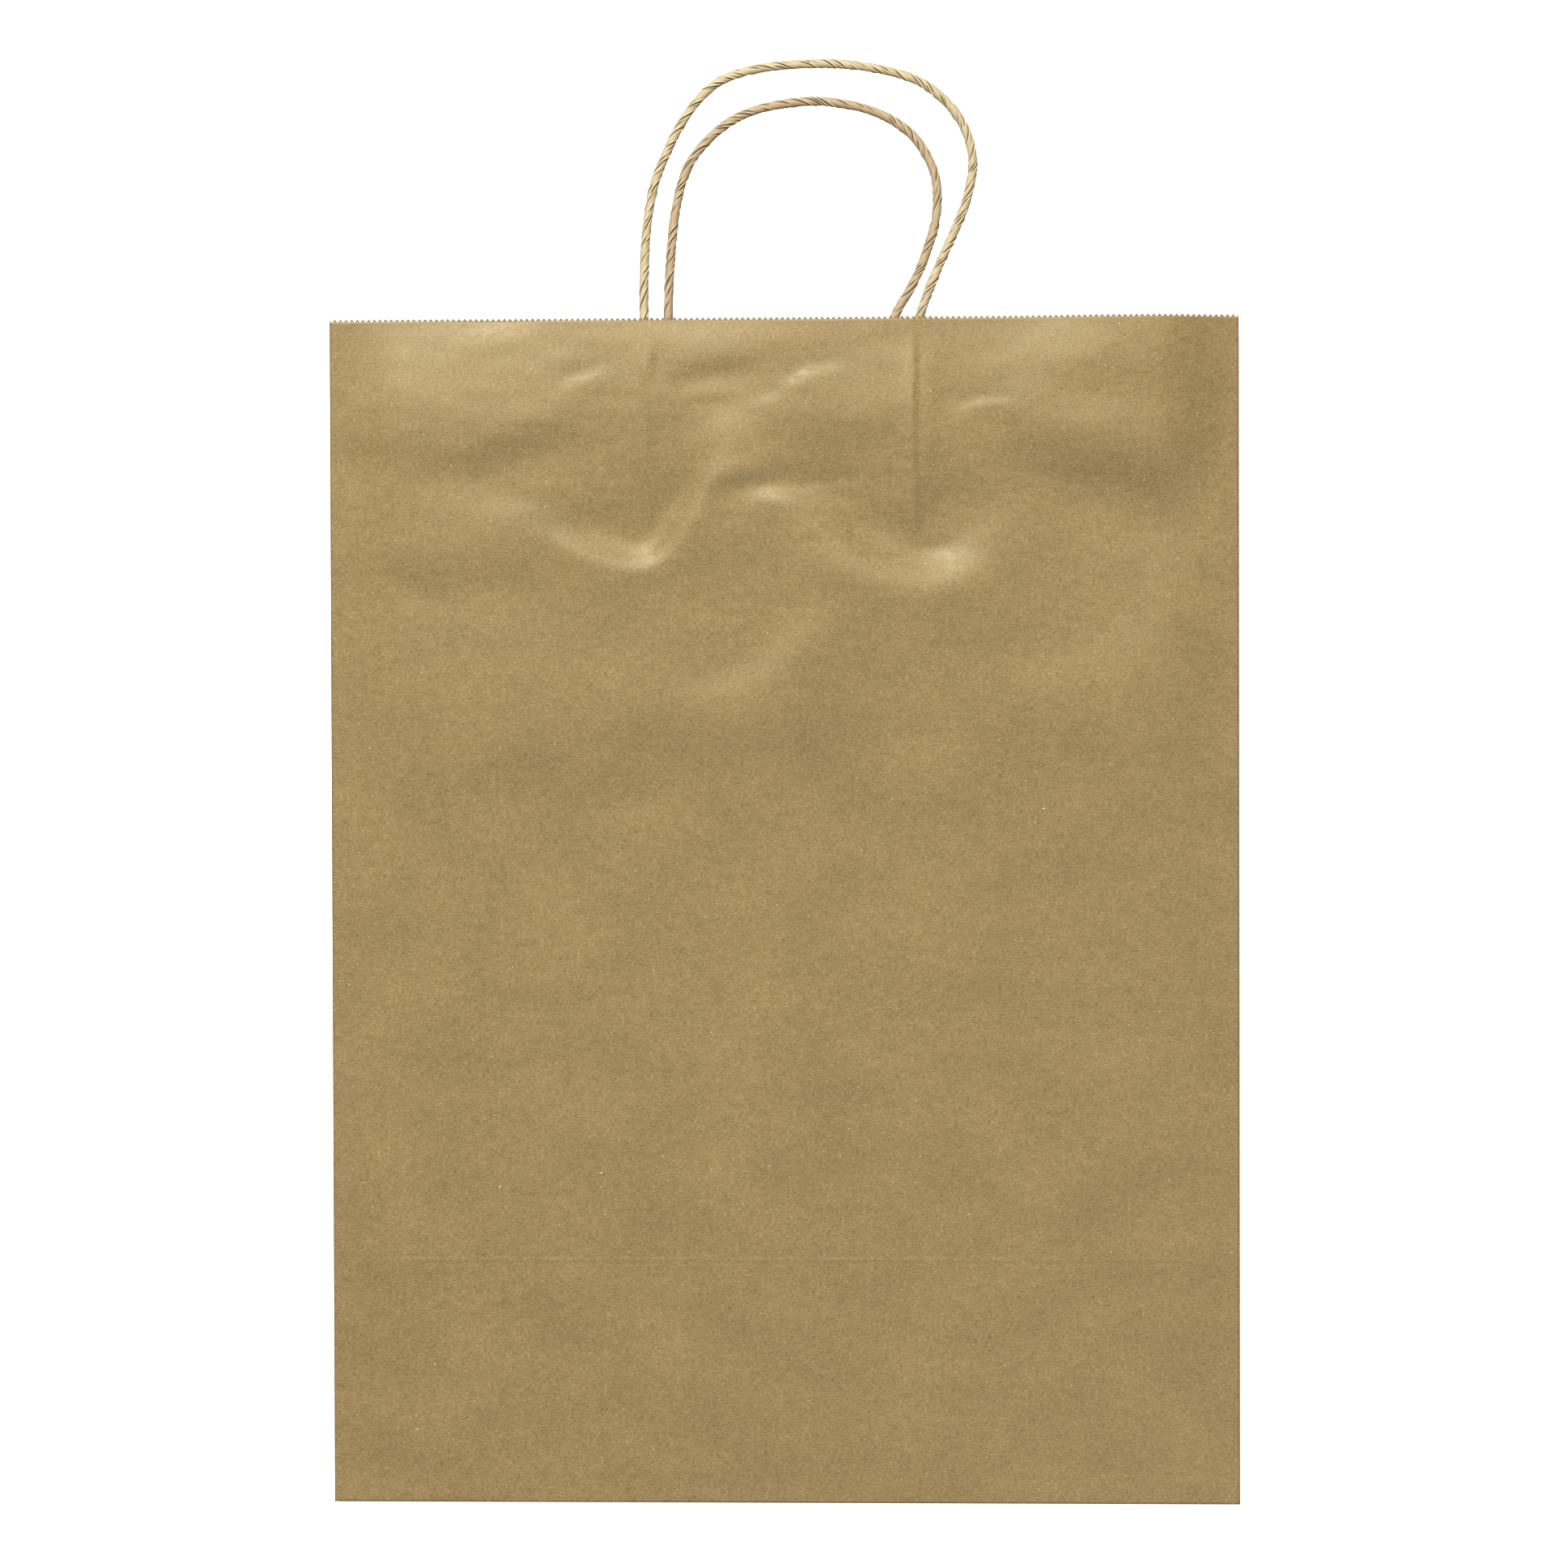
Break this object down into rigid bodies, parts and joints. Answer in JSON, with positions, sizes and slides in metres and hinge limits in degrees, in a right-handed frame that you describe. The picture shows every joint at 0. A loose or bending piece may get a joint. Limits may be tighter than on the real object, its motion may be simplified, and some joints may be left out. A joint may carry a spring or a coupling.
{
  "type": "gift bag",
  "caption": "Brown kraft paper gift bag, folded flat: gusseted sides, block bottom folded behind, pinked mouth edge and a twisted-cord loop handle on each face.",
  "frame": {"origin": "centre of the footprint of the folded bag, handles included, on the surface it lies on", "axes": "+X to the right of the front face, +Y towards the mouth and handles, +Z out of the front face (up as it lies)"},
  "size_m": [0.3302, 0.5253, 0.0076],
  "materials": {
    "kraft_outside": "uncoated brown kraft, fine fibre speckle",
    "kraft_inside": "uncoated brown kraft",
    "kraft_patch": "uncoated brown kraft, slightly darker with glue",
    "cord_front": "twisted pale kraft paper cord",
    "cord_back": "twisted pale kraft paper cord"
  },
  "bodies": {
    "back": {"back_panel": "kraft_outside", "seam_flap": "kraft_inside", "back_patch_base": "kraft_patch", "back_patch_cover": "kraft_patch", "back_handle_leg_left": "cord_back", "back_handle_leg_right": "cord_back"},
    "left_gusset_back": {"left_gusset_back": "kraft_inside"},
    "left_gusset_front": {"left_gusset_front": "kraft_inside"},
    "front": {"front_panel": "kraft_outside", "front_patch_base": "kraft_patch", "front_patch_cover": "kraft_patch", "front_handle_leg_left": "cord_front", "front_handle_leg_right": "cord_front"},
    "right_gusset_back": {"right_gusset_back": "kraft_inside"},
    "right_gusset_front": {"right_gusset_front": "kraft_inside"},
    "back_lower": {"back_panel_lower": "kraft_outside"},
    "bottom": {"bottom_flap_front": "kraft_outside", "bottom_flap_back": "kraft_outside", "bottom_tuck_left": "kraft_inside", "bottom_tuck_right": "kraft_inside"},
    "left_bottom_web": {"left_bottom_web": "kraft_inside"},
    "right_bottom_web": {"right_bottom_web": "kraft_inside"},
    "left_back_web": {"left_back_web": "kraft_inside"},
    "right_back_web": {"right_back_web": "kraft_inside"},
    "front_handle": {"front_handle_loop": "cord_front"},
    "back_handle": {"back_handle_loop": "cord_back"}
  },
  "joints": [
    {"name": "left_back_edge", "type": "hinge", "parent": "back", "child": "left_gusset_back", "pos_m": [-0.1641, -0.0467, 0.0031], "axis": [0, -1, 0], "range_deg": [0, 90]},
    {"name": "left_centre_crease", "type": "hinge", "parent": "left_gusset_back", "child": "left_gusset_front", "pos_m": [-0.0762, -0.0467, 0.00485], "axis": [0, 1, 0], "range_deg": [0, 180]},
    {"name": "left_front_edge", "type": "hinge", "parent": "left_gusset_front", "child": "front", "pos_m": [-0.1641, -0.0467, 0.0066], "axis": [0, -1, 0], "range_deg": [0, 90]},
    {"name": "right_back_edge", "type": "hinge", "parent": "back", "child": "right_gusset_back", "pos_m": [0.1641, -0.0467, 0.0031], "axis": [0, 1, 0], "range_deg": [0, 90]},
    {"name": "right_centre_crease", "type": "hinge", "parent": "right_gusset_back", "child": "right_gusset_front", "pos_m": [0.0762, -0.0467, 0.00485], "axis": [0, -1, 0], "range_deg": [0, 180]},
    {"name": "back_bottom_crease", "type": "hinge", "parent": "back", "child": "back_lower", "pos_m": [0, -0.1737, 0.00205], "axis": [-1, 0, 0], "range_deg": [0, 180]},
    {"name": "bottom_edge", "type": "hinge", "parent": "back_lower", "child": "bottom", "pos_m": [0, -0.08518, 0.0015], "axis": [1, 0, 0], "range_deg": [0, 90]},
    {"name": "left_bottom_side_edge", "type": "hinge", "parent": "bottom", "child": "left_bottom_web", "pos_m": [-0.1648, -0.1737, 0.001], "axis": [0, -1, 0], "range_deg": [0, 90], "deforming": ["left_bottom_web"]},
    {"name": "left_back_side_edge", "type": "hinge", "parent": "back_lower", "child": "left_back_web", "pos_m": [-0.1648, -0.12925, 0.0017], "axis": [0, 1, 0], "range_deg": [0, 90], "deforming": ["left_back_web"]},
    {"name": "right_bottom_side_edge", "type": "hinge", "parent": "bottom", "child": "right_bottom_web", "pos_m": [0.1648, -0.1737, 0.001], "axis": [0, 1, 0], "range_deg": [0, 90], "deforming": ["right_bottom_web"]},
    {"name": "right_back_side_edge", "type": "hinge", "parent": "back_lower", "child": "right_back_web", "pos_m": [0.1648, -0.12925, 0.0017], "axis": [0, -1, 0], "range_deg": [0, 90], "deforming": ["right_back_web"]},
    {"name": "front_handle_swing", "type": "hinge", "parent": "front", "child": "front_handle", "pos_m": [0, 0.1727, 0.00525], "axis": [1, 0, 0], "range_deg": [-90, 100]},
    {"name": "back_handle_swing", "type": "hinge", "parent": "back", "child": "back_handle", "pos_m": [0, 0.1727, 0.00445], "axis": [1, 0, 0], "range_deg": [-90, 100]}
  ],
  "couplings": [
    {"joint": "left_centre_crease", "follows": "left_back_edge", "ratio": 2},
    {"joint": "left_front_edge", "follows": "left_back_edge", "ratio": 1},
    {"joint": "right_back_edge", "follows": "left_back_edge", "ratio": 1},
    {"joint": "right_centre_crease", "follows": "left_back_edge", "ratio": 2},
    {"joint": "back_bottom_crease", "follows": "left_back_edge", "ratio": 2},
    {"joint": "bottom_edge", "follows": "left_back_edge", "ratio": 1},
    {"joint": "left_bottom_side_edge", "follows": "left_back_edge", "ratio": 1},
    {"joint": "left_back_side_edge", "follows": "left_back_edge", "ratio": 1},
    {"joint": "right_bottom_side_edge", "follows": "left_back_edge", "ratio": 1},
    {"joint": "right_back_side_edge", "follows": "left_back_edge", "ratio": 1}
  ]
}
